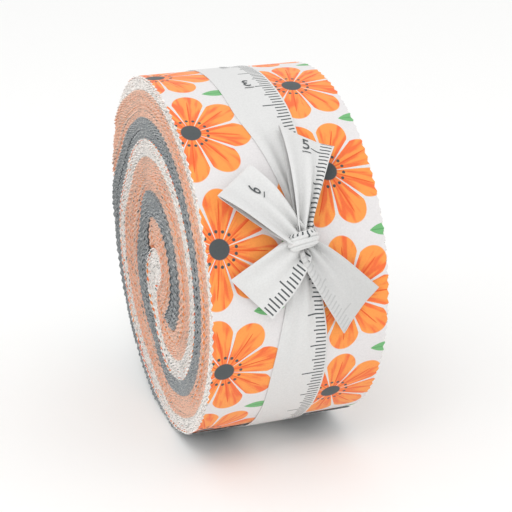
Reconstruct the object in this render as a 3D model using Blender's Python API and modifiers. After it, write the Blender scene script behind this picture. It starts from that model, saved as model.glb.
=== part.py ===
"""Jelly roll: long fabric strips wound into one roll and tied round with a ribbon bow.

Metres, +Z up. X runs along the winding axis, the bow faces -Y, and the roll
stands on its flat spot at z = 0. Angles round the roll start at the top and
grow over the front and the underside, the way the strips wind inward.
"""

from collections import namedtuple
from math import ceil, cos, pi, radians, sin

import bmesh
import bpy
from mathutils import Matrix, Vector

# The roll: 2.5 inch strips, sagged so that it is a little deeper than tall
STRIP_WIDTH = 0.0635
ROLL_HALF_DEPTH = 0.0719
ROLL_HALF_HEIGHT = 0.0666
FLAT_SPOT_RISE = 0.0008
RIM_ROUNDING = 0.0012
OUTLINE_STEPS = 96

# The seam between one turn of the wound stack and the next, on both ends
SEAM_WIDTH = 0.0012
SEAM_DEPTH = 0.0022
SEAM_START = 150.0
SEAM_STEP = 7.5
# Share of the way from the middle to the rim, at the start and then each quarter turn
SEAM_SHARES = (1.03, 0.80, 0.68, 0.67, 0.60, 0.42, 0.26, 0.25)
SEAM_QUARTERS = (150.0, 250.0, 340.0, 440.0, 540.0, 625.0, 705.0, 800.0)

# The ribbon band, sunk into the soft roll
RIBBON_WIDTH = 0.020
RIBBON_THICKNESS = 0.001
GAP = 0.0003
BAND_STANDS_PROUD = 0.0003

# The bow on the front
KNOT_ACROSS = 0.0007
KNOT_AROUND = 69.2
KNOT_SIZE = (0.0112, 0.0096, 0.0070)
KNOT_LIFT = 0.0044
BOW_START = 0.0066
BOW_START_WIDTH = 0.0056
BOW_LOW = 0.0016
AROUND_TO_LENGTH = 0.0693     # mean radius, turns an angle into a length on the surface

# heading is 0 toward +X and 90 toward the top. Lifts are above the roll, at the
# free end of the piece, on its left and right side seen from the knot.
BowPiece = namedtuple("BowPiece", "name heading reach width slant left_lift right_lift puff")
LOOPS = (
    BowPiece("ribbon_loop_left", 132.0, 0.0283, 0.0175, 0.0009, 0.0050, 0.0016, 0.0026),
    BowPiece("ribbon_loop_right", 74.0, 0.0362, 0.0181, 0.0034, 0.0014, 0.0026, 0.0036),
)
TAILS = (
    BowPiece("ribbon_tail_left", 222.0, 0.0256, 0.0197, 0.0, 0.0030, 0.0018, 0.0010),
    BowPiece("ribbon_tail_right", -52.5, 0.0296, 0.0179, -0.0015, 0.0018, 0.0026, 0.0010),
)
LOOP_FOLD = 0.0026            # from one layer's middle to the other's at the fold
LOOP_AT_KNOT = 0.0017
PIECE_STEPS = 9
FOLD_STEPS = 4
STEPS_ACROSS = 4

# The bow stands out at the front, so the roll's middle lies behind the origin
CENTRE_Y = 0.0017
CENTRE_Z = ROLL_HALF_HEIGHT - FLAT_SPOT_RISE

# Turns a flat drawing in X and Y into one that faces along the winding axis
FACING_X = Matrix(((0, 0, 1, 0), (1, 0, 0, 0), (0, 1, 0, 0), (0, 0, 0, 1)))


def clear_scene():
    for item in list(bpy.data.objects):
        bpy.data.objects.remove(item, do_unlink=True)


def make_collection(name):
    collection = bpy.data.collections.new(name)
    bpy.context.scene.collection.children.link(collection)
    return collection


def make_material(name, color, roughness):
    material = bpy.data.materials.new(name)
    material.use_nodes = True
    shader = material.node_tree.nodes["Principled BSDF"]
    shader.inputs["Base Color"].default_value = (*color, 1.0)
    shader.inputs["Roughness"].default_value = roughness
    shader.inputs["Metallic"].default_value = 0.0
    material.diffuse_color = (*color, 1.0)
    return material


def outline(grow, floor=0.0):
    """Points of the roll's outline, grown outward and kept above a height."""
    points = []
    for step in range(OUTLINE_STEPS):
        angle = 2 * pi * step / OUTLINE_STEPS
        y = -(ROLL_HALF_DEPTH + grow) * sin(angle)
        z = (ROLL_HALF_HEIGHT + grow) * cos(angle)
        points.append((y, max(z, floor - CENTRE_Z)))
    return points


def drawing(name, lines, thickness, closed=True):
    """A mesh from flat lines, as thick as given along the winding axis."""
    curve = bpy.data.curves.new(name, "CURVE")
    curve.dimensions = "2D"
    curve.fill_mode = "BOTH"
    curve.extrude = thickness / 2
    for line in lines:
        spline = curve.splines.new("POLY")
        spline.points.add(len(line) - 1)
        for point, (y, z) in zip(spline.points, line):
            point.co = (y, z, 0.0, 1.0)
        spline.use_cyclic_u = closed
    drawn = bpy.data.objects.new(name + "_drawing", curve)
    bpy.context.scene.collection.objects.link(drawn)
    bpy.context.view_layer.update()
    evaluated = drawn.evaluated_get(bpy.context.evaluated_depsgraph_get())
    mesh = bpy.data.meshes.new_from_object(evaluated)
    bpy.data.objects.remove(drawn, do_unlink=True)
    bpy.data.curves.remove(curve)
    mesh.name = name
    mesh.transform(FACING_X)
    weld(mesh)
    return mesh


def weld(mesh, join_flats=False):
    shape = bmesh.new()
    shape.from_mesh(mesh)
    bmesh.ops.remove_doubles(shape, verts=shape.verts, dist=0.00001)
    bmesh.ops.recalc_face_normals(shape, faces=shape.faces)
    if join_flats:
        bmesh.ops.dissolve_limit(shape, angle_limit=radians(0.1), verts=shape.verts, edges=shape.edges)
    shape.to_mesh(mesh)
    shape.free()


def place(name, mesh, parent, collection, material=None):
    item = bpy.data.objects.new(name, mesh)
    collection.objects.link(item)
    item.parent = parent
    if material:
        mesh.materials.append(material)
    return item


def place_cutter(name, mesh, parent, collection):
    cutter = place(name, mesh, parent, collection)
    cutter.hide_render = True
    cutter.display_type = "WIRE"
    return cutter


def cut(item, cutter):
    modifier = item.modifiers.new("Cut " + cutter.name, "BOOLEAN")
    modifier.operation = "DIFFERENCE"
    modifier.solver = "EXACT"
    modifier.object = cutter


def seam_share(angle):
    """Smooth curve through the seam's shares, as a Catmull-Rom spline."""
    last = len(SEAM_QUARTERS) - 1
    row = max(i for i in range(last) if SEAM_QUARTERS[i] <= angle)
    blend = (angle - SEAM_QUARTERS[row]) / (SEAM_QUARTERS[row + 1] - SEAM_QUARTERS[row])
    before, start, end, after = (SEAM_SHARES[min(max(row + k, 0), last)] for k in (-1, 0, 1, 2))
    return 0.5 * (2 * start + (end - before) * blend
                  + (2 * before - 5 * start + 4 * end - after) * blend ** 2
                  + (3 * start - before - 3 * end + after) * blend ** 3)


def seam_line():
    points = []
    steps = ceil((SEAM_QUARTERS[-1] - SEAM_START) / SEAM_STEP)
    for step in range(steps):
        degrees = SEAM_START + SEAM_STEP * step
        share = seam_share(degrees)
        angle = radians(degrees)
        points.append((-ROLL_HALF_DEPTH * share * sin(angle), ROLL_HALF_HEIGHT * share * cos(angle)))
    return points


def build_roll(parent, parts, cutters, material):
    """The wound form, with the band's channel and the turns' seam on both ends."""
    mesh = drawing("strip_roll", [outline(0.0)], STRIP_WIDTH)
    weld(mesh, join_flats=True)
    roll = place("strip_roll", mesh, parent, parts, material)
    rounding = roll.modifiers.new("Rim", "BEVEL")
    rounding.width = RIM_ROUNDING
    rounding.segments = 2
    rounding.limit_method = "ANGLE"
    rounding.angle_limit = radians(60)

    sunk = BAND_STANDS_PROUD - RIBBON_THICKNESS - GAP
    channel_lines = [outline(0.003, -0.003), outline(sunk, RIBBON_THICKNESS + GAP)]
    channel_mesh = drawing("band_channel", channel_lines, RIBBON_WIDTH + 2 * GAP)
    cut(roll, place_cutter("band_channel", channel_mesh, parent, cutters))

    for side, x in (("near", -STRIP_WIDTH / 2), ("far", STRIP_WIDTH / 2)):
        seam_mesh = drawing("turn_seam_" + side, [seam_line()], 2 * SEAM_DEPTH, closed=False)
        seam = place_cutter("turn_seam_" + side, seam_mesh, parent, cutters)
        seam.location.x = x
        wall = seam.modifiers.new("Width", "SOLIDIFY")
        wall.thickness = SEAM_WIDTH
        wall.offset = 0.0
        cut(roll, seam)
    return roll


def build_band(parent, parts, material):
    lines = [outline(BAND_STANDS_PROUD), outline(BAND_STANDS_PROUD - RIBBON_THICKNESS, RIBBON_THICKNESS)]
    return place("ribbon_band", drawing("ribbon_band", lines, RIBBON_WIDTH), parent, parts, material)


def on_roll(across, around, lift):
    """Point over the roll's surface, from its middle."""
    y = -(ROLL_HALF_DEPTH + lift) * sin(around)
    z = (ROLL_HALF_HEIGHT + lift) * cos(around)
    return Vector((across, y, z))


def build_knot(parent, parts, material):
    shape = bmesh.new()
    bmesh.ops.create_cube(shape, size=1.0)
    bmesh.ops.subdivide_edges(shape, edges=shape.edges, cuts=1, use_grid_fill=True)
    bmesh.ops.scale(shape, vec=KNOT_SIZE, verts=shape.verts)
    mesh = bpy.data.meshes.new("ribbon_knot")
    shape.to_mesh(mesh)
    shape.free()
    knot = place("ribbon_knot", mesh, parent, parts, material)
    knot.location = on_roll(KNOT_ACROSS, radians(KNOT_AROUND), KNOT_LIFT)
    knot.rotation_euler.x = radians(KNOT_AROUND)
    soft = knot.modifiers.new("Soft", "SUBSURF")
    soft.levels = 2
    soft.render_levels = 2
    return knot


def bow_point(piece, reach, side, lift):
    """Point on a bow piece: reach from the knot, side from -1 right to 1 left."""
    share = reach / piece.reach
    start_share = BOW_START / piece.reach
    opened = (share - start_share) / (1 - start_share)
    half = 0.5 * (BOW_START_WIDTH + (piece.width - BOW_START_WIDTH) * opened ** 0.85)
    heading = radians(piece.heading)
    along = reach + piece.slant * side * share
    across = KNOT_ACROSS + along * cos(heading) - side * half * sin(heading)
    upward = along * sin(heading) + side * half * cos(heading)
    around = radians(KNOT_AROUND) - upward / AROUND_TO_LENGTH
    raised = piece.left_lift if side > 0 else piece.right_lift
    side_lift = (raised - BOW_LOW) * abs(side) * opened ** 2
    return on_roll(across, around, lift + side_lift)


def tail_path(piece):
    """Reach and lift of a free end, lying out from the knot."""
    path = []
    for step in range(PIECE_STEPS + 1):
        share = step / PIECE_STEPS
        reach = BOW_START + (piece.reach - BOW_START) * share
        path.append((reach, BOW_LOW + 0.0012 * (1 - share) ** 3 + piece.puff * sin(pi * share)))
    return path


def loop_path(piece):
    """Reach and lift of a flattened loop: out on the roll, round the fold, and back above."""
    fold = LOOP_FOLD / 2
    fold_reach = piece.reach - fold
    lower = []
    upper = []
    for step in range(PIECE_STEPS + 1):
        share = step / PIECE_STEPS
        reach = BOW_START + (fold_reach - BOW_START) * share
        apart = LOOP_AT_KNOT + (LOOP_FOLD - LOOP_AT_KNOT) * share + piece.puff * sin(pi * share)
        lower.append((reach, BOW_LOW))
        upper.append((reach, BOW_LOW + apart))
    turn = []
    for step in range(1, FOLD_STEPS):
        angle = pi * step / FOLD_STEPS
        turn.append((fold_reach + fold * sin(angle), BOW_LOW + fold * (1 - cos(angle))))
    return lower + turn + upper[::-1]


def build_bow_piece(piece, path, parent, parts, material):
    """A grid laid along the path over the roll, as thick as the ribbon."""
    shape = bmesh.new()
    bmesh.ops.create_grid(shape, x_segments=len(path) - 1, y_segments=STEPS_ACROSS, size=1.0)
    for vertex in shape.verts:
        reach, lift = path[round((vertex.co.x + 1) / 2 * (len(path) - 1))]
        vertex.co = bow_point(piece, reach, vertex.co.y, lift)
    mesh = bpy.data.meshes.new(piece.name)
    shape.to_mesh(mesh)
    shape.free()
    item = place(piece.name, mesh, parent, parts, material)
    cloth = item.modifiers.new("Ribbon", "SOLIDIFY")
    cloth.thickness = RIBBON_THICKNESS
    cloth.offset = 0.0
    cloth.use_even_offset = True
    return item


def build_jelly_roll():
    clear_scene()
    parts = make_collection("jelly_roll")
    cutters = make_collection("cutters")
    cotton = make_material("strip_cotton", (0.90, 0.52, 0.33), 0.85)
    tape = make_material("ribbon_tape", (0.86, 0.85, 0.84), 0.70)

    middle = bpy.data.objects.new("roll_middle", None)
    parts.objects.link(middle)
    middle.location = (0.0, CENTRE_Y, CENTRE_Z)

    build_roll(middle, parts, cutters, cotton)
    build_band(middle, parts, tape)
    build_knot(middle, parts, tape)
    for piece in LOOPS:
        build_bow_piece(piece, loop_path(piece), middle, parts, tape)
    for piece in TAILS:
        build_bow_piece(piece, tail_path(piece), middle, parts, tape)


build_jelly_roll()
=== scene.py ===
from math import ceil, cos, hypot, pi, radians, sin

import bpy
import numpy as np
from mathutils import Matrix, Vector


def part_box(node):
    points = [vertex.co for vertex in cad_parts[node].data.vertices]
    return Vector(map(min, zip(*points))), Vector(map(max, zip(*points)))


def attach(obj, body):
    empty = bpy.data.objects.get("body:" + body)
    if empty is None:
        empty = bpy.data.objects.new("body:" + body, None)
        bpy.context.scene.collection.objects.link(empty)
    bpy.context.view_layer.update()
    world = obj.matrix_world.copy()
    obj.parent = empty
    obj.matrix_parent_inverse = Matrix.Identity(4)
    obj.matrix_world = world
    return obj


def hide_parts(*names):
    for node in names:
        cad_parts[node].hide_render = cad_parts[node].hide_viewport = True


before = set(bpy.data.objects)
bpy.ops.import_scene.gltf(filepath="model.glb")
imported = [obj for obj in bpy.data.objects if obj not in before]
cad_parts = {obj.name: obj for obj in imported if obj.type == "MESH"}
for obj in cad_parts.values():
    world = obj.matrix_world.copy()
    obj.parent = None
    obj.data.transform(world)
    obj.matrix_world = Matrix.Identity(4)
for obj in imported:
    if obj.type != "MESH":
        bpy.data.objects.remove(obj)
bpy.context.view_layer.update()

rollLow, rollHigh = (Vector(corner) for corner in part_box("strip_roll"))

# the wound roll, in metres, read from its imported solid
roll = {
    "halfWidth": (rollHigh.x - rollLow.x) / 2,
    "halfDepth": (rollHigh.y - rollLow.y) / 2,
    "middleY": (rollHigh.y + rollLow.y) / 2,
    "meanRadius": 0.0693,           # turns a way over the roll's face into degrees
    "pressedFlat": 0.0008,          # how far the round form is pressed in underneath
    "onRibbon": 0.0003,             # the strips rest on the ribbon under them
}
roll["halfHeight"] = (rollHigh.z + roll["pressedFlat"]) / 2
roll["middleZ"] = rollHigh.z - roll["halfHeight"]
middle = Vector((0.0, roll["middleY"], roll["middleZ"]))
rng = np.random.default_rng(42)


def hexColor(code):
    # an sRGB hex value as the linear color that a shader takes
    parts = [int(code[k:k + 2], 16) / 255 for k in (1, 3, 5)]
    return [p / 12.92 if p <= 0.04045 else ((p + 0.055) / 1.055) ** 2.4 for p in parts] + [1.0]


def addNode(tree, kind, inputs=None, **settings):
    node = tree.nodes.new("ShaderNode" + kind)
    for name, value in settings.items():
        setattr(node, name, value)
    for key, value in (inputs or {}).items():
        if isinstance(value, bpy.types.NodeSocket):
            tree.links.new(value, node.inputs[key])
        else:
            node.inputs[key].default_value = value
    return node


def newMaterial(name):
    material = bpy.data.materials.new(name)
    material.use_nodes = True
    tree = material.node_tree
    tree.nodes.clear()
    return material, tree


def deselectAll():
    if bpy.context.object and bpy.context.object.mode != "OBJECT":
        bpy.ops.object.mode_set(mode="OBJECT")
    bpy.ops.object.select_all(action="DESELECT")


def applyModifiers(item):
    deselectAll()
    item.select_set(True)
    bpy.context.view_layer.objects.active = item
    for modifier in list(item.modifiers):
        bpy.ops.object.modifier_apply(modifier=modifier.name)


def vertexPlaces(item):
    places = np.empty(len(item.data.vertices) * 3)
    item.data.vertices.foreach_get("co", places)
    return places.reshape(-1, 3)


def writeFlatMap(item, along, across):
    # the flat map, in metres, from each vertex's place on the cut cloth
    flat = item.data.uv_layers[0]
    flat.name = "flat"
    corners = np.empty(len(item.data.loops), dtype=np.int32)
    item.data.loops.foreach_get("vertex_index", corners)
    flat.uv.foreach_set("vector", np.column_stack([along[corners], across[corners]]).ravel())


def thicken(item, thickness, rimMaterial):
    wall = item.modifiers.new("cloth", "SOLIDIFY")
    wall.thickness = thickness
    wall.offset = 0.0
    wall.material_offset = 1
    wall.material_offset_rim = rimMaterial
    applyModifiers(item)


# Camera and light

# degrees, metres and millimetres of lens, fitted to the outlines of the roll's two ends
camera = {
    "azimuth": -17.80, "elevation": 19.57, "roll": 1.337,
    "distance": 0.4863,
    "lens": 89.65, "sensor": 36.0, "shiftX": 0.0424, "shiftY": -0.0220,
    "nearest": 0.01,
}


def addCamera():
    azimuth, elevation, turn = (radians(camera[k]) for k in ("azimuth", "elevation", "roll"))
    back = Vector((sin(azimuth) * cos(elevation), -cos(azimuth) * cos(elevation), sin(elevation)))
    right = Vector((cos(azimuth), sin(azimuth), 0.0))
    up = back.cross(right)
    across = cos(turn) * right - sin(turn) * up
    upward = sin(turn) * right + cos(turn) * up
    bpy.ops.object.camera_add()
    item = bpy.context.object
    item.name = "studioCamera"
    item.data.lens = camera["lens"]
    item.data.sensor_width = camera["sensor"]
    item.data.shift_x = camera["shiftX"]
    item.data.shift_y = camera["shiftY"]
    item.data.clip_start = camera["nearest"]
    item.matrix_world = Matrix.Translation(middle + back * camera["distance"]) @ Matrix(
        (across, upward, back)).transposed().to_4x4()
    bpy.context.scene.camera = item


studio = {
    "floorColor": "#F8F8F7", "floorSize": 6.0, "floorRoughness": 0.9, "floorGloss": 0.2,
    "worldColor": "#FFFFFF", "worldStrength": 1.0,
    # name: place, size, watts, all aimed at the roll
    "lights": {
        "keyLight": ((-0.35, -0.55, 0.95), 0.45, 1.6),
        "fillLight": ((0.85, -0.55, 0.55), 0.80, 0.5),
        "endLight": ((-0.95, -0.25, 0.35), 0.60, 1.4),
    },
}


def addStudio():
    bpy.ops.mesh.primitive_plane_add(size=studio["floorSize"])
    floor = bpy.context.object
    floor.name = "studioFloor"
    material, tree = newMaterial("pale paper floor")
    shader = addNode(tree, "BsdfPrincipled", {
        "Base Color": hexColor(studio["floorColor"]), "Roughness": studio["floorRoughness"],
        "Specular IOR Level": studio["floorGloss"]})
    addNode(tree, "OutputMaterial", {"Surface": shader.outputs["BSDF"]})
    floor.data.materials.append(material)

    world = bpy.data.worlds.new("studioWorld")
    world.use_nodes = True
    back = world.node_tree.nodes["Background"]
    back.inputs["Color"].default_value = hexColor(studio["worldColor"])
    back.inputs["Strength"].default_value = studio["worldStrength"]
    bpy.context.scene.world = world
    bpy.context.scene.view_settings.view_transform = "Standard"

    for name, (place, size, watts) in studio["lights"].items():
        bpy.ops.object.light_add(type="AREA", location=place)
        light = bpy.context.object
        light.name = name
        light.data.size = size
        light.data.energy = watts
        light.rotation_euler = (middle - Vector(place)).to_track_quat("-Z", "Y").to_euler()


deselectAll()
addCamera()
addStudio()
print("camera, floor and lights are in place")


# Cloth of the strips

# name: color of the right side, color of its small print, print kind, print size in mm
stripCloths = {
    "floralCotton": ("#DFDCDC", "#F58A50", "flowers", 41.0),
    "creamCotton": ("#E8E2DC", "#B3ADA8", "dots", 2.2),
    "sprigCotton": ("#E6E2DF", "#6F7577", "dots", 3.1),
    "petalCotton": ("#E8DFDA", "#F09A6C", "dots", 2.6),
    "paleGreyCotton": ("#CACAC9", "#E6E3E0", "dots", 2.4),
    "blushCotton": ("#F0C3AC", "#F0DED3", "dots", 2.3),
    "peachCotton": ("#F0A980", "#F2D3C0", "dots", 2.8),
    "coralCotton": ("#E8946B", "#EDB99E", "checks", 2.2),
    "apricotCotton": ("#F2A064", "#EFCFAB", "dots", 2.5),
    "ashCotton": ("#E2CFC4", "#7F807F", "dots", 2.9),
    "silverCotton": ("#8F9495", "#D5D5D4", "dots", 2.4),
    "charcoalCotton": ("#565B5E", "#B9BBBB", "dots", 2.8),
    "slateCotton": ("#6F767A", "#A9AEB1", "checks", 2.2),
}
# the print fades through to the wrong side, so each family has its own paler back
backColors = {
    "white": ("#F4F0EC", "#C6C3BF"), "peach": ("#EBC2AC", "#C6AC9D"), "grey": ("#969A9C", "#BABBBB"),
}
flecks = {"size": 0.9, "share": 0.24}   # mm, and the share of the cloth that they take
dots = {"stray": 0.55, "radius": 0.26, "rim": 0.34}     # shares of the print size

cloth = {
    "threadSpacing": 0.45,      # mm; real thread is 0.25, drawn coarser so that it shows
    "weaveBump": 0.05, "weaveHeight": 0.0002,
    "roughness": 0.88, "gloss": 0.25,
    "sheen": 0.15, "sheenRoughness": 0.5,
    "grain": 0.20,              # how unevenly the threads of the stacked strips are dyed
    "fineGrain": 0.04,          # and those of the outer strip and the ribbon
    "grainScale": 1600.0,       # to a metre
    "grainFrom": 0.32, "grainTo": 0.68, "grainLift": 0.6,
}


def clothShader(tree, color, metres, grainDepth):
    # woven cotton: two sets of thread as crossed waves, fuzz as sheen and a fine grain of color
    period = 2 * pi / (cloth["threadSpacing"] * 0.001)
    along = addNode(tree, "Math", {0: metres.outputs["X"], 1: period}, operation="MULTIPLY")
    across = addNode(tree, "Math", {0: metres.outputs["Y"], 1: period}, operation="MULTIPLY")
    waves = [addNode(tree, "Math", {0: k.outputs[0]}, operation="SINE") for k in (along, across)]
    weave = addNode(tree, "Math", {0: waves[0].outputs[0], 1: waves[1].outputs[0]}, operation="MULTIPLY")
    bump = addNode(tree, "Bump", {
        "Strength": cloth["weaveBump"], "Distance": cloth["weaveHeight"], "Height": weave.outputs[0]})
    place = addNode(tree, "TexCoord")
    grain = addNode(tree, "TexNoise", {
        "Vector": place.outputs["Object"], "Scale": cloth["grainScale"], "Detail": 2.0})
    tone = addNode(tree, "MapRange", {
        "Value": grain.outputs["Fac"], "From Min": cloth["grainFrom"], "From Max": cloth["grainTo"],
        "To Min": 1.0 - grainDepth, "To Max": 1.0 + grainDepth * cloth["grainLift"]})
    shaded = addNode(tree, "MixRGB", {
        "Fac": 1.0, "Color1": color, "Color2": tone.outputs["Result"]}, blend_type="MULTIPLY")
    shader = addNode(tree, "BsdfPrincipled", {
        "Base Color": shaded.outputs["Color"], "Roughness": cloth["roughness"],
        "Sheen Weight": cloth["sheen"], "Sheen Roughness": cloth["sheenRoughness"],
        "Specular IOR Level": cloth["gloss"], "Normal": bump.outputs["Normal"]})
    addNode(tree, "OutputMaterial", {"Surface": shader.outputs["BSDF"]})


def calculator(tree):
    # a short way to add math nodes, one for each operation
    return lambda kind, *values: addNode(
        tree, "Math", dict(enumerate(values)), operation=kind).outputs[0]


def mapInMetres(tree):
    # the UV map of every strip and ribbon is in metres: X along it, Y across it
    flat = addNode(tree, "UVMap", uv_map="flat")
    return addNode(tree, "SeparateXYZ", {"Vector": flat.outputs["UV"]}), flat


def smallPrint(tree, flat, ground, ink, kind, size):
    # scattered dots, flecks or a fine check, set out in the strip's own flat millimetres
    scale = 1000.0 / size
    if kind == "flecks":
        pattern = addNode(tree, "TexVoronoi", {"Vector": flat.outputs["UV"], "Scale": scale})
        luck = addNode(tree, "SeparateColor", {"Color": pattern.outputs["Color"]})
        factor = addNode(tree, "Math", {0: luck.outputs["Red"], 1: flecks["share"]}, operation="LESS_THAN")
        factor = factor.outputs[0]
    elif kind == "dots":
        pattern = addNode(tree, "TexVoronoi", {
            "Vector": flat.outputs["UV"], "Scale": scale, "Randomness": dots["stray"]})
        mask = addNode(tree, "MapRange", {
            "Value": pattern.outputs["Distance"], "From Min": dots["radius"], "From Max": dots["rim"],
            "To Min": 1.0, "To Max": 0.0})
        factor = mask.outputs["Result"]
    else:
        pattern = addNode(tree, "TexChecker", {"Vector": flat.outputs["UV"], "Scale": 2 * scale})
        factor = pattern.outputs["Fac"]
    mixed = addNode(tree, "MixRGB", {"Fac": factor, "Color1": hexColor(ground), "Color2": hexColor(ink)})
    return mixed.outputs["Color"]


flowers = {
    "cell": 43.0,               # mm between flowers, both ways
    "offsetAcross": 17.0,       # mm, so that the strip's edges cut through some
    # lengths from here on are shares of a cell
    "stray": 0.04,              # how far a flower sits off its cell's middle
    "softEdge": 0.008,
    "radius": 0.478,
    "petals": 8.0, "notch": 0.36, "tipPower": 0.30,
    "petal": "#F79B4E", "petalDeep": "#F0713F", "streak": "#E9602F",
    "brushAlong": 3.0, "brushAround": 5.0, "brushScale": 1.6,
    "deepFrom": 0.48, "deepTo": 0.66, "deepToTip": 0.18,
    "streakFrom": 0.955, "streakToTip": 0.055, "gapTo": -0.990, "gapToTip": 0.05,
    "heart": "#4F5456", "heartRadius": 0.085,
    "stamens": 16.0, "stamenReach": 0.135, "stamenRadius": 0.013,
    "leaf": "#74B478", "leafRib": "#5FA265", "leafAt": 0.365, "leafLength": 0.125, "leafWidth": 0.048,
    "ribWidth": 0.004, "ribFromRim": 0.012,
    "seed": 3.7,
}


def flowerPrint(tree, metres, flat, ground):
    # a plain repeat of large daisies, one to a cell, every other column dropped by half
    size = flowers["cell"] * 0.001
    radius = flowers["radius"]
    soft = flowers["softEdge"]
    math = calculator(tree)
    paint = lambda mask, under, over: addNode(
        tree, "MixRGB", {"Fac": mask, "Color1": under, "Color2": over}).outputs[0]
    across = math("DIVIDE", math("ADD", metres.outputs["Y"], flowers["offsetAcross"] * 0.001), size)
    column = math("FLOOR", across)
    along = math("ADD", math("DIVIDE", metres.outputs["X"], size), math("MULTIPLY", column, 0.5))
    cellId = addNode(tree, "CombineXYZ", {0: column, 1: math("FLOOR", along), 2: flowers["seed"]})
    luck = addNode(tree, "TexWhiteNoise", {"Vector": cellId.outputs["Vector"]}, noise_dimensions="3D")
    luck = addNode(tree, "SeparateColor", {"Color": luck.outputs["Color"]}).outputs
    heartAt = [math("MULTIPLY_ADD", luck[name], flowers["stray"], 0.5 - flowers["stray"] / 2)
               for name in ("Red", "Green")]
    x = math("SUBTRACT", math("FRACT", along), heartAt[0])
    y = math("SUBTRACT", math("FRACT", across), heartAt[1])
    far = math("SQRT", math("ADD", math("MULTIPLY", x, x), math("MULTIPLY", y, y)))
    turn = math("ADD", math("ARCTAN2", y, x), math("MULTIPLY", luck["Blue"], 2 * pi))

    # petals: rounded tips, deep notches, a painted streak down each and a thin gap between two
    wave = math("COSINE", math("MULTIPLY", turn, flowers["petals"]))
    crest = math("POWER", math("MULTIPLY_ADD", wave, 0.5, 0.5), flowers["tipPower"])
    rim = math("MULTIPLY", math("MULTIPLY_ADD", crest, flowers["notch"], 1 - flowers["notch"]), radius)
    inFlower = addNode(tree, "MapRange", {
        "Value": math("SUBTRACT", rim, far), "From Min": 0.0, "From Max": soft}).outputs["Result"]
    brush = addNode(tree, "CombineXYZ", {
        0: math("MULTIPLY", far, flowers["brushAlong"]),
        1: math("MULTIPLY", turn, flowers["brushAround"]), 2: luck["Red"]})
    brushed = addNode(tree, "TexNoise", {
        "Vector": brush.outputs["Vector"], "Scale": flowers["brushScale"], "Detail": 1.0}).outputs["Fac"]
    tip = math("DIVIDE", far, radius)
    shade = addNode(tree, "MapRange", {
        "Value": math("ADD", brushed, math("MULTIPLY", tip, flowers["deepToTip"])),
        "From Min": flowers["deepFrom"], "From Max": flowers["deepTo"]})
    petal = paint(shade.outputs["Result"], hexColor(flowers["petalDeep"]), hexColor(flowers["petal"]))
    streakEdge = math("MULTIPLY_ADD", tip, flowers["streakToTip"], flowers["streakFrom"])
    inStreak = math("GREATER_THAN", wave, streakEdge)
    petal = paint(inStreak, petal, hexColor(flowers["streak"]))
    between = math("LESS_THAN", wave, math("MULTIPLY_ADD", tip, flowers["gapToTip"], flowers["gapTo"]))
    petal = paint(between, petal, ground)

    # heart, with a ring of stamens
    heartEdge = math("SUBTRACT", flowers["heartRadius"], far)
    inHeart = addNode(tree, "MapRange", {"Value": heartEdge, "From Min": 0.0, "From Max": soft})
    petal = paint(inHeart.outputs["Result"], petal, hexColor(flowers["heart"]))
    beat = math("MULTIPLY", turn, flowers["stamens"] / (2 * pi))
    aside = math("MULTIPLY", math("SUBTRACT", math("FRACT", beat), 0.5),
                 2 * pi * flowers["stamenReach"] / flowers["stamens"])
    outward = math("SUBTRACT", far, flowers["stamenReach"])
    dot = math("SQRT", math("ADD", math("MULTIPLY", aside, aside), math("MULTIPLY", outward, outward)))
    petal = paint(math("LESS_THAN", dot, flowers["stamenRadius"]), petal, hexColor(flowers["heart"]))

    # a leaf in each gap between three flowers
    fromSide = math("SUBTRACT", 0.5, math("ABSOLUTE", math("SUBTRACT", math("FRACT", along), 0.5)))
    fromGap = math("SUBTRACT", math("ABSOLUTE", math("SUBTRACT", math("FRACT", across), 0.5)),
                   flowers["leafAt"])
    way = math("DIVIDE", fromGap, flowers["leafLength"])
    leafRim = math("MULTIPLY", math("SUBTRACT", 1.0, math("MULTIPLY", way, way)), flowers["leafWidth"])
    back = paint(math("GREATER_THAN", leafRim, fromSide), ground, hexColor(flowers["leaf"]))
    onRib = math("MULTIPLY", math("LESS_THAN", fromSide, flowers["ribWidth"]),
                 math("GREATER_THAN", leafRim, flowers["ribFromRim"]))
    back = paint(onRib, back, hexColor(flowers["leafRib"]))
    return paint(inFlower, back, petal)


stripMaterials = {}
for clothName, (ground, ink, kind, size) in stripCloths.items():
    stripMaterials[clothName], tree = newMaterial(clothName)
    metres, flat = mapInMetres(tree)
    if kind == "flowers":
        printed = flowerPrint(tree, metres, flat, hexColor(ground))
    else:
        printed = smallPrint(tree, flat, ground, ink, kind, size)
    clothShader(tree, printed, metres, cloth["fineGrain" if kind == "flowers" else "grain"])
for family, (ground, ink) in backColors.items():
    stripMaterials[family + "Back"], tree = newMaterial(family + "ClothBack")
    metres, flat = mapInMetres(tree)
    printed = smallPrint(tree, flat, ground, ink, "flecks", flecks["size"])
    clothShader(tree, printed, metres, cloth["grain"])
print("strip cloths:", len(stripCloths))


# Winding of the strips

# the stack from its outer face inward, by color family
stack = {
    "white": "floral petal ash petal sprig petal cream paleGrey sprig cream",
    "peach": "blush coral ash peach blush apricot ash coral blush peach apricot blush "
             "coral ash peach coral blush apricot",
    "grey": "silver charcoal slate silver charcoal silver slate charcoal silver slate "
            "charcoal slate charcoal charcoal",
}
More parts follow.
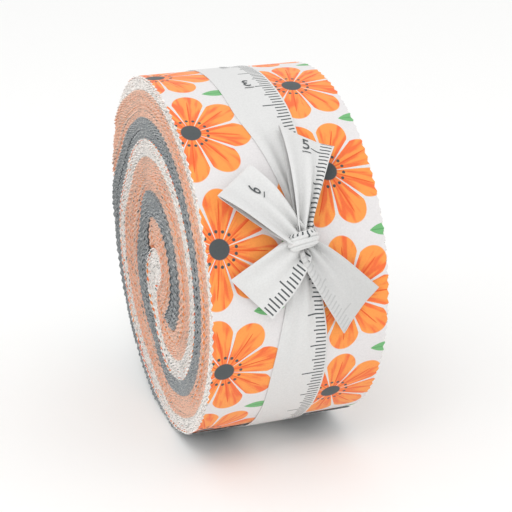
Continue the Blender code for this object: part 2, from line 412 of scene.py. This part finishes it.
# degrees wound, from the top over the front. Each family's outer ends are staggered from
# the first strip to the last, at even shares of the strips, and so are its inner ends. Slack
# is how loosely a family lies at the top, front, bottom and back, and proud is how far its
# outer ends stand out of the near end of the roll, in metres.
winding = {
    "step": 0.5,
    "white": {"outer": (-26.0, -52.0), "inner": (930.0, 990.0),
              "slack": (1.0, 1.05, 1.35, 0.7), "proud": 0.0},
    "peach": {"outer": (-55.0, -81.0), "inner": (550.0, 522.0),
              "slack": (1.0, 1.0, 1.0, 1.0), "proud": 0.0},
    "grey": {"outer": (-84.0, -94.0, -110.0, -160.0, -185.0, -215.0), "inner": (500.0, 517.0),
             "slack": (1.0, 1.0, 1.0, 1.0), "proud": 0.0005},
    "hookEnd": (335.0, 285.0),  # the peach ends turn back round the grey ones as far as this
    "hookStray": 5.0,
    "closing": 6.0,             # degrees in which the neighbours close in past an end
    "looseAt": (250.0, 450.0, 620.0, 800.0), "looseness": (1.0, 1.45, 1.45, 0.95),
    "proudReach": 0.30,         # metres
    "hole": 1.5,                # strips' thickness left open in the middle
    "smooth": 9,                # steps
    "layers": (0.25, 0.75),     # where a strip's two layers lie in its share of the way
    "drop": 0.004, "dropAcross": 0.002,   # metres that the inner turns sag down and forward
}


def clamp01(values):
    return np.clip(values, 0.0, 1.0)


def planLegs():
    # every strip's run, and for the peach ones the hook back, as a leg of the winding
    legs = []
    strip = 0
    for family, members in stack.items():
        members = [name + "Cotton" for name in members.split()]
        outer, inner = winding[family]["outer"], winding[family]["inner"]
        for k, clothName in enumerate(members):
            share = k / (len(members) - 1)
            start = np.interp(share, np.linspace(0.0, 1.0, len(outer)), outer)
            end = inner[0] + (inner[1] - inner[0]) * share
            legs.append({"strip": strip, "cloth": clothName, "family": family, "hook": False,
                         "start": start, "end": end})
            if family == "peach":
                hook = winding["hookEnd"]
                stop = hook[0] + (hook[1] - hook[0]) * share + winding["hookStray"] * rng.random()
                legs.append({"strip": strip, "cloth": clothName, "family": family, "hook": True,
                             "start": stop, "end": end})
            strip += 1
    return legs


def layOut(legs):
    # at each angle the legs that cross it share the way from the middle to the rim
    step = winding["step"]
    closing = winding["closing"]
    columns = []
    for index, leg in enumerate(legs):
        first = ceil((leg["start"] - closing) / step)
        last = int((leg["end"] + closing) / step)
        at = np.arange(first, last + 1)
        degrees = at * step
        past = np.maximum(leg["start"] - degrees, degrees - leg["end"])
        present = clamp01(1.0 - past / closing)
        slack = winding[leg["family"]]["slack"]
        loose = np.interp(degrees, winding["looseAt"], winding["looseness"]) * np.interp(
            degrees % 360, (0, 90, 180, 270, 360), slack + slack[:1])
        # turns are stacked by the angle wound, and at one angle by the strip's number
        order = degrees * 1000.0 + (100 - leg["strip"] if leg["hook"] else leg["strip"])
        columns.append(np.stack([
            at % round(360 / step), order, present * loose, np.full(len(at), index), at, loose], axis=1))
    cross = np.concatenate(columns)
    cross = cross[np.lexsort((-cross[:, 1], cross[:, 0]))]
    angle, weight = cross[:, 0].astype(int), cross[:, 2]
    total = np.bincount(angle, weight) + winding["hole"]
    before = np.cumsum(weight) - weight
    starts = np.searchsorted(angle, np.arange(len(total)))
    base = before - before[starts][angle] + winding["hole"]
    for index, leg in enumerate(legs):
        mine = cross[:, 3] == index
        rows = cross[mine]
        rows = np.column_stack([rows[:, 4] * step, base[mine] / total[angle[mine]],
                                rows[:, 5] / total[angle[mine]]])
        rows = rows[np.argsort(rows[:, 0])]
        kernel = np.ones(winding["smooth"]) / winding["smooth"]
        pad = winding["smooth"] // 2
        for column in (1, 2):
            padded = np.pad(rows[:, column], pad, mode="edge")
            rows[:, column] = np.convolve(padded, kernel, mode="valid")
        inside = (rows[:, 0] >= leg["start"]) & (rows[:, 0] <= leg["end"])
        leg["rows"] = rows[inside]


def onSection(degrees, share):
    # a point of the roll's section, from its share of the way to the rim
    angle = np.radians(degrees)
    y = -roll["halfDepth"] * np.sin(angle)
    z = roll["halfHeight"] * np.cos(angle)
    low = roll["middleZ"] - roll["onRibbon"]
    squeeze = np.where(z < -low, low / np.maximum(-z, 1e-6), 1.0)
    inward = (1 - share ** 2) ** 2
    y = y * share * squeeze - winding["dropAcross"] * inward
    z = z * share * squeeze - winding["drop"] * inward
    return np.column_stack([y, z])


def layerLine(legs, strip, layer):
    # the line of one of the strip's two layers, from its outer end to its inner end
    mine = {leg["hook"]: leg for leg in legs if leg["strip"] == strip}
    main = mine[False]["rows"]
    line = onSection(main[:, 0], main[:, 1] + layer * main[:, 2])
    if True in mine:
        hook = mine[True]["rows"][::-1]
        line = np.concatenate([line, onSection(hook[:, 0], hook[:, 1] + (1 - layer) * hook[:, 2])])
    return line


def resample(line, pitch):
    # even steps, after a first one of any length so that neighbours' teeth don't line up
    reach = np.concatenate([[0.0], np.cumsum(np.hypot(*np.diff(line, axis=0).T))])
    at = np.arange(pitch * rng.random(), reach[-1], pitch)
    return np.column_stack([np.interp(at, reach, line[:, k]) for k in (0, 1)]), at


pinking = {
    "cutLength": 1.118,         # metres, the width of the cloth that the strips are cut from
    "toothPitch": 0.0032, "toothDepth": 0.00065,
    "thickness": 0.00022,
    # uneven stacking, sideways; the wander's waves are in radians to a metre
    "stripShift": 0.00016, "wander": 0.00016, "stray": 0.0006,
    "longWave": 21, "shortWave": 57, "shortShare": 0.6,
    "margin": 0.0004,           # the outer strip's teeth come this near to the roll's width
    "jitter": 0.00003,
}


def addStrip(legs, strip, clothName, family):
    # one folded strip: in along one layer, out round the fold, and back along the other
    inner, outer = (layerLine(legs, strip, layer) for layer in winding["layers"])
    line, at = resample(np.concatenate([inner[::-1], outer]), pinking["toothPitch"] / 2)
    count = len(line)
    deselectAll()
    bpy.ops.mesh.primitive_grid_add(x_subdivisions=count - 1, y_subdivisions=1, size=1.0)
    item = bpy.context.object
    item.name = "strip%02d" % strip
    places = vertexPlaces(item)
    column = np.rint((places[:, 0] + 0.5) * (count - 1)).astype(int)
    side = np.sign(places[:, 1])
    tooth = np.where(column % 2 == 0, 0.0, pinking["toothDepth"])
    shift = rng.normal(0.0, pinking["stripShift"])
    waves = rng.random(3) * 2 * pi
    wander = pinking["wander"] * (
        np.sin(at * pinking["longWave"] + waves[0])
        + pinking["shortShare"] * np.sin(at * pinking["shortWave"] + waves[1]))
    strayed = np.clip(shift + wander[column], -pinking["stray"], pinking["stray"]) * (strip > 0)
    fromEnd = np.minimum(at, at[-1] - at)[column]
    strayed -= winding[family]["proud"] * clamp01(1 - fromEnd / winding["proudReach"])
    x = side * (roll["halfWidth"] - tooth - pinking["margin"] * (1 + (strip > 0))) + strayed
    jitter = rng.normal(0.0, pinking["jitter"], (count, 2))[column] * side[:, None]
    places = np.column_stack([x, line[column] + jitter + (middle.y, middle.z)])
    item.data.vertices.foreach_set("co", places.ravel())
    # along the strip from its outer end
    writeFlatMap(item, (at[-1] - at)[column], x + roll["halfWidth"])
    item.data.update()
    item.data.materials.append(stripMaterials[clothName])
    item.data.materials.append(stripMaterials[family + "Back"])
    thicken(item, pinking["thickness"], 1)
    return item, at[-1]


legs = planLegs()
layOut(legs)
stripPieces = {}
for leg in legs:
    if not leg["hook"]:
        item, reach = addStrip(legs, leg["strip"], leg["cloth"], leg["family"])
        stripPieces.setdefault(leg["cloth"], []).append((item, reach))
for clothName, members in stripPieces.items():
    deselectAll()
    for item, reach in members:
        item.select_set(True)
    piece = members[0][0]
    bpy.context.view_layer.objects.active = piece
    if len(members) > 1:
        bpy.ops.object.join()
    piece.name = clothName + "Strips"
    piece.data.name = piece.name
    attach(piece, "root")
    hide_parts("strip_roll")


# The ribbon

ribbon = {
    "width": 0.020, "thickness": 0.00026,
    "weld": 0.00002, "smoothAngle": 40.0,
    "color": "#D8D8D7", "wrongColor": "#CBCBCA", "ink": "#4E5254", "inkRoughness": 0.8,
    "sixteenth": 0.0015875,     # ruler marks along one edge, in metres
    "markWidth": 0.34,          # share of the spacing
    "markFrom": 0.0006,
    "markLengths": (0.0040, 0.0050, 0.0062, 0.0080),
    "showThrough": 0.18,
}


def tapeSide(name, color, markStrength):
    # cotton tape with ruler marks printed along one edge, which show faintly on its back
    material, tree = newMaterial(name)
    metres, flat = mapInMetres(tree)
    math = calculator(tree)
    place = math("DIVIDE", metres.outputs["X"], ribbon["sixteenth"])
    near = math("ABSOLUTE", math("SUBTRACT", math("FRACT", place), 0.5))
    onMark = math("LESS_THAN", near, ribbon["markWidth"] / 2)
    reach = None
    number = math("FLOOR", place)
    for power, length in enumerate(ribbon["markLengths"]):
        every = float(2 ** power * 2) if power else 1.0
        hit = math("LESS_THAN", math("FLOORED_MODULO", number, every), 0.5) if power else 1.0
        step = math("MULTIPLY", hit, length)
        reach = step if reach is None else math("MAXIMUM", reach, step)
    inReach = math("LESS_THAN", metres.outputs["Y"], math("ADD", reach, ribbon["markFrom"]))
    fromEdge = math("GREATER_THAN", metres.outputs["Y"], ribbon["markFrom"])
    mask = math("MULTIPLY", math("MULTIPLY", onMark, inReach), fromEdge)
    printed = addNode(tree, "MixRGB", {
        "Fac": math("MULTIPLY", mask, markStrength), "Color1": hexColor(color),
        "Color2": hexColor(ribbon["ink"])})
    clothShader(tree, printed.outputs["Color"], metres, cloth["fineGrain"])
    return material


inkMaterial, tree = newMaterial("printedInk")
inkShader = addNode(tree, "BsdfPrincipled", {
    "Base Color": hexColor(ribbon["ink"]), "Roughness": ribbon["inkRoughness"]})
addNode(tree, "OutputMaterial", {"Surface": inkShader.outputs["BSDF"]})
tapeFront = tapeSide("cottonTape", ribbon["color"], 1.0)
tapeBack = tapeSide("cottonTapeBack", ribbon["wrongColor"], ribbon["showThrough"])


def overRoll(across, around, lift):
    # a point over the roll's face, around in degrees from the top over the front
    angle = np.radians(around)
    y = -(roll["halfDepth"] + lift) * np.sin(angle)
    z = (roll["halfHeight"] + lift) * np.cos(angle)
    return np.column_stack([across, y + middle.y, np.maximum(z + middle.z, ribbon["thickness"] / 2)])


def addRibbonPiece(name, place, length, grid, printedOut=True, closed=False, markEdge=1.0, start=0.0):
    # a grid of the ribbon's own cut size, laid by place(share along, side) over the roll;
    # printedOut says that the print is on the side that the grid's normals point to
    deselectAll()
    bpy.ops.mesh.primitive_grid_add(x_subdivisions=grid[0], y_subdivisions=grid[1], size=2.0)
    item = bpy.context.object
    item.name = name
    item.data.name = name
    spots = vertexPlaces(item)
    along, side = (spots[:, 0] + 1) / 2, spots[:, 1]
    item.data.vertices.foreach_set("co", place(along, side).ravel())
    if markEdge:
        fromMarks = (1 - markEdge * side) / 2 * ribbon["width"]
    else:
        fromMarks = np.full_like(side, ribbon["width"] / 2)
    writeFlatMap(item, start + along * length, fromMarks)
    if closed:
        bpy.ops.object.mode_set(mode="EDIT")
        bpy.ops.mesh.select_all(action="SELECT")
        bpy.ops.mesh.remove_doubles(threshold=ribbon["weld"])
        bpy.ops.object.mode_set(mode="OBJECT")
    for material in (tapeFront, tapeBack) if printedOut else (tapeBack, tapeFront):
        item.data.materials.append(material)
    thicken(item, ribbon["thickness"], 0)
    bpy.ops.object.shade_smooth_by_angle(angle=radians(ribbon["smoothAngle"]))
    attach(item, "root")
    return item


knot = {
    "across": 0.0007, "around": 69.2,
    "halfAcross": 0.0051, "halfAlong": 0.0027, "halfHeight": 0.0028, "lift": 0.0042,
    "pinch": 0.30, "tilt": 0.0006,
    "folds": 1.9, "foldHeight": 0.00050, "foldSway": 0.9, "foldPhase": 0.5,
    "fineFolds": 6.1, "fineHeight": 0.00012, "fineSway": 2.2,
    "start": 0.30,              # metres along the printed ribbon
    "grid": (72, 40),
}

band = {
    "lift": 0.00022, "pleats": 2.5, "pleatHeight": 0.0010, "pleatPhase": 0.6,
    "knotLift": 0.0026, "knotReach": 7.0,       # metres up, in the degrees nearest to the knot
    "changeFrom": 170.0, "changeOver": 20.0,    # degrees from the edges below to those above
    "grid": (260, 24),
    # degrees from the knot, and where the band's two edges lie there in metres: it is drawn
    # in under the bow, more to the right above the knot
    "angles": (0.0, 7.0, 13.0, 27.0, 41.0, 62.0, 180.0),
    "leftAbove": (0.0006, 0.0000, -0.0015, -0.0050, -0.0097, -0.0104, -0.0100),
    "rightAbove": (0.0058, 0.0060, 0.0066, 0.0086, 0.0102, 0.0098, 0.0100),
    "leftBelow": (-0.0030, -0.0036, -0.0046, -0.0078, -0.0098, -0.0100, -0.0100),
    "rightBelow": (0.0044, 0.0050, 0.0060, 0.0088, 0.0101, 0.0100, 0.0100),
    "rounding": 9,              # degrees over which the edges' corners are rounded
}


def bandEdge(name, near):
    degrees = np.arange(0.0, 181.0)
    edge = np.interp(degrees, band["angles"], band[name])
    kernel = np.ones(band["rounding"]) / band["rounding"]
    edge = np.convolve(np.pad(edge, band["rounding"] // 2, mode="edge"), kernel, mode="valid")
    return np.interp(near, degrees, edge)


def bandPlace(along, side):
    # round the roll from the knot, down over the front and back to the knot from above
    turned = along * 360.0
    near = np.minimum(turned, 360.0 - turned)
    above = clamp01((turned - band["changeFrom"]) / band["changeOver"])
    left, right = (bandEdge(name + "Above", near) * above + bandEdge(name + "Below", near) * (1 - above)
                   for name in ("left", "right"))
    gathered = clamp01(1 - (right - left) / ribbon["width"])
    pleat = band["pleatHeight"] * gathered * (
        1 + np.sin(side * band["pleats"] * pi + band["pleatPhase"]))
    rise = band["knotLift"] * clamp01(1 - near / band["knotReach"]) ** 2
    across = (left + right) / 2 + side * (right - left) / 2
    return overRoll(across, knot["around"] + turned, band["lift"] + pleat + rise)


bandLength = 2 * pi * (roll["halfDepth"] + roll["halfHeight"]) / 2
bandPiece = addRibbonPiece("ribbonBand", bandPlace, bandLength, band["grid"], markEdge=1.0)
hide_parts("ribbon_band")

# heading is 0 toward +X and 90 toward the top; sides are left and right seen from the knot.
# slant makes the left side longer, lifts raise the sides, and a low opening power makes a
# side swell out soon after the knot where a high one keeps it straight
bowPieces = {
    "ribbonLoopLeft": {
        "node": "ribbon_loop_left", "heading": 132.0, "reach": 0.0292, "width": 0.0178,
        "startWidth": 0.0074, "slant": 0.0009, "lifts": (0.0046, 0.0006), "puff": 0.0030,
        "opening": (0.80, 1.45), "low": 0.0014, "loop": True, "printedOut": False,
        "marks": 0.0, "start": 0.006},
    "ribbonLoopRight": {
        "node": "ribbon_loop_right", "heading": 74.0, "reach": 0.0368, "width": 0.0186,
        "startWidth": 0.0040, "slant": 0.0034, "lifts": (0.0004, 0.0018), "puff": 0.0036,
        "opening": (0.75, 1.90), "low": 0.0009, "loop": True, "printedOut": False,
        "marks": -1.0, "start": 0.011},
    "ribbonTailLeft": {
        "node": "ribbon_tail_left", "heading": 222.0, "reach": 0.0256, "width": 0.0197,
        "startWidth": 0.0068, "slant": 0.0, "lifts": (0.0022, 0.0008), "puff": 0.0014,
        "opening": (0.30, 0.85), "low": 0.0013, "loop": False, "printedOut": True,
        "marks": 1.0, "start": 0.0},
    "ribbonTailRight": {
        "node": "ribbon_tail_right", "heading": -53.5, "reach": 0.0330, "width": 0.0190,
        "startWidth": 0.0040, "slant": -0.0020, "lifts": (0.0008, 0.0016), "puff": 0.0016,
        "opening": (0.62, 0.42), "low": 0.0008, "loop": False, "printedOut": False,
        "marks": -1.0, "start": 0.0},
}
bow = {
    "inKnot": 0.0015, "knotLift": 0.0030, "risePower": 3,
    "foldApart": 0.0014, "foldFrom": 0.93, "foldOver": 0.07,    # the loop's far end, as shares
    "puffPower": 1.2, "liftPower": 1.5,
    "pleats": 2.3, "pleatHeight": 0.0022, "pleatPhase": 0.9, "pleatTurn": 1.3,
    "ripple": 0.00035,          # a soft unevenness of the whole surface
    "rippleAlong": 7.0, "rippleAcross": 2.4,
    "loopGrid": (96, 28), "tailGrid": (44, 28),
}


def cutLength(piece):
    return (piece["reach"] - bow["inKnot"]) * (2.0 if piece["loop"] else 1.0)


def bowPlace(piece):
    start, reach = bow["inKnot"], piece["reach"]

    def place(along, side):
        if piece["loop"]:
            # out on the roll, round a soft fold, and back above
            back = np.abs(2 * along - 1)
            share = 1 - back
            upper = along > 0.5
            inFold = clamp01((share - bow["foldFrom"]) / bow["foldOver"])
            fold = np.sqrt(clamp01(1 - inFold ** 2))
            share = np.minimum(share, bow["foldFrom"] + bow["foldOver"] * np.sin(inFold * pi / 2))
            apart = bow["foldApart"] + piece["puff"] * np.sin(pi * clamp01(share)) ** bow["puffPower"]
            lift = np.where(upper, 1, -1) * apart * 0.5 * fold + apart * 0.5
        else:
            share = along
            lift = piece["puff"] * np.sin(pi * share)
            upper = np.ones_like(along, dtype=bool)
        far = start + (reach - start) * share
        opened = clamp01((far - start) / (reach - start))
        leftHalf, rightHalf = (
            0.5 * (piece["startWidth"] + (piece["width"] - piece["startWidth"]) * opened ** power)
            for power in piece["opening"])
        half = np.where(side > 0, leftHalf, rightHalf)
        out = far + piece["slant"] * side * share
        heading = radians(piece["heading"])
        across = knot["across"] + out * cos(heading) - side * half * sin(heading)
        upward = out * sin(heading) + side * half * cos(heading)
        around = knot["around"] - np.degrees(upward / roll["meanRadius"])
        power = bow["liftPower"]
        sideLift = np.where(side > 0, *piece["lifts"]) * np.abs(side) ** power * opened ** power
        gathered = clamp01(1 - (leftHalf + rightHalf) / ribbon["width"])
        pleat = bow["pleatHeight"] * gathered * np.sin(
            side * bow["pleats"] * pi + bow["pleatPhase"] + bow["pleatTurn"] * opened)
        rise = (bow["knotLift"] - piece["low"]) * (1 - opened) ** bow["risePower"]
        ripple = bow["ripple"] * (
            1 + np.sin(share * bow["rippleAlong"] + side * bow["rippleAcross"] + piece["heading"]))
        return overRoll(across, around, piece["low"] + lift + sideLift + pleat + rise + ripple)

    return place


for name, piece in bowPieces.items():
    length = cutLength(piece)
    item = addRibbonPiece(
        name, bowPlace(piece), length, bow["loopGrid" if piece["loop"] else "tailGrid"],
        printedOut=piece["printedOut"], markEdge=piece["marks"], start=piece["start"])
    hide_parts(piece["node"])


def knotPlace(along, side):
    # the turn of ribbon drawn tight round the bow's middle, drawn in at both its edges
    angle = along * 2 * pi
    pinch = 1 - knot["pinch"] * side ** 2
    sway = knot["foldSway"] * np.sin(angle + knot["foldPhase"])
    fold = knot["foldHeight"] * np.abs(np.sin(side * knot["folds"] * pi + sway))
    sway = knot["fineSway"] * np.sin(angle)
    fold = fold + knot["fineHeight"] * np.sin(side * knot["fineFolds"] * pi + sway)
    across = knot["across"] + (knot["halfAcross"] * pinch + fold) * np.cos(angle)
    lift = knot["lift"] + (knot["halfHeight"] * pinch + fold) * np.sin(angle)
    tilt = knot["tilt"] * np.cos(angle)
    around = knot["around"] + np.degrees((side * knot["halfAlong"] - tilt) / roll["meanRadius"])
    return overRoll(across, around, lift)


knotLength = 2 * pi * hypot(knot["halfAcross"], knot["halfHeight"]) / 2 ** 0.5
# declared at half the ribbon's width, as if it were folded double here, which is only a guess:
# of a cut of the full width this shape holds 0.37
knotPiece = addRibbonPiece(
    "ribbonKnot", knotPlace, knotLength, knot["grid"], closed=True, markEdge=-1.0, start=knot["start"])
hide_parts("ribbon_knot")

# plain numbers between the ruler marks: character, piece, share along it, place from its
# middle to its edge, and turn in degrees
digits = {
    "height": 0.0046, "capShare": 0.7, "proud": 0.00022,
    # the line under a number: metres thick, then its length and drop as shares of the height
    "underline": 0.00035, "underlineLength": 0.75, "underlineDrop": 0.72, "underlineSteps": 12,
    "probe": 0.002,             # a small way along and across, to find which way is outward
    "set": (("6", "ribbonLoopLeft", 0.63, -0.22, -70.0), ("5", "ribbonLoopRight", 0.565, 0.05, -90.0),
            ("3", "ribbonBand", 0.842, 0.10, -90.0), ("2", "ribbonBand", 0.783, 0.10, -90.0)),
}


def addDigit(character, place, length, along, side, turn):
    # a letter form, drawn flat and then laid over the ribbon it is printed on
    deselectAll()
    bpy.ops.object.text_add()
    item = bpy.context.object
    item.data.body = character
    item.data.size = digits["height"] / digits["capShare"]
    item.data.align_x = "CENTER"
    item.data.align_y = "CENTER"
    bpy.ops.object.convert(target="MESH")
    item = bpy.context.object
    bpy.ops.mesh.primitive_grid_add(
        x_subdivisions=digits["underlineSteps"], y_subdivisions=1, size=1.0,
        location=(0.0, -digits["underlineDrop"] * digits["height"], 0.0))
    line = bpy.context.object
    line.scale = (digits["underlineLength"] * digits["height"], digits["underline"], 1.0)
    item.select_set(True)
    bpy.context.view_layer.objects.active = item
    bpy.ops.object.transform_apply(location=True, rotation=True, scale=True)
    bpy.ops.object.join()
    places = vertexPlaces(item)
    angle = radians(turn)
    flatX = places[:, 1] * sin(angle) - places[:, 0] * cos(angle)
    flatY = places[:, 0] * sin(angle) + places[:, 1] * cos(angle)
    at = along + flatX / length, side + flatY / (ribbon["width"] / 2)
    small = digits["probe"]
    here = place(*at)
    ahead = place(at[0] + small, at[1]) - here
    aside = place(at[0], at[1] + small) - here
    outward = np.cross(ahead, aside)
    outward /= np.linalg.norm(outward, axis=1)[:, None]
    fromMiddle = here - np.array(middle)
    outward *= np.sign(np.sum(outward * fromMiddle, axis=1))[:, None]
    item.data.vertices.foreach_set(
        "co", (here + outward * (ribbon["thickness"] / 2 + digits["proud"])).ravel())
    item.data.update()
    item.data.materials.append(inkMaterial)
    return item


places = {name: (bowPlace(piece), cutLength(piece)) for name, piece in bowPieces.items()}
places["ribbonBand"] = (bandPlace, bandLength)
made = [addDigit(character, *places[name], along, side, turn)
        for character, name, along, side, turn in digits["set"]]
deselectAll()
for item in made:
    item.select_set(True)
bpy.context.view_layer.objects.active = made[0]
bpy.ops.object.join()
made[0].name = "ribbonDigits"
made[0].data.name = "ribbonDigits"
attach(made[0], "root")
print("ribbon band, bow and knot are tied")
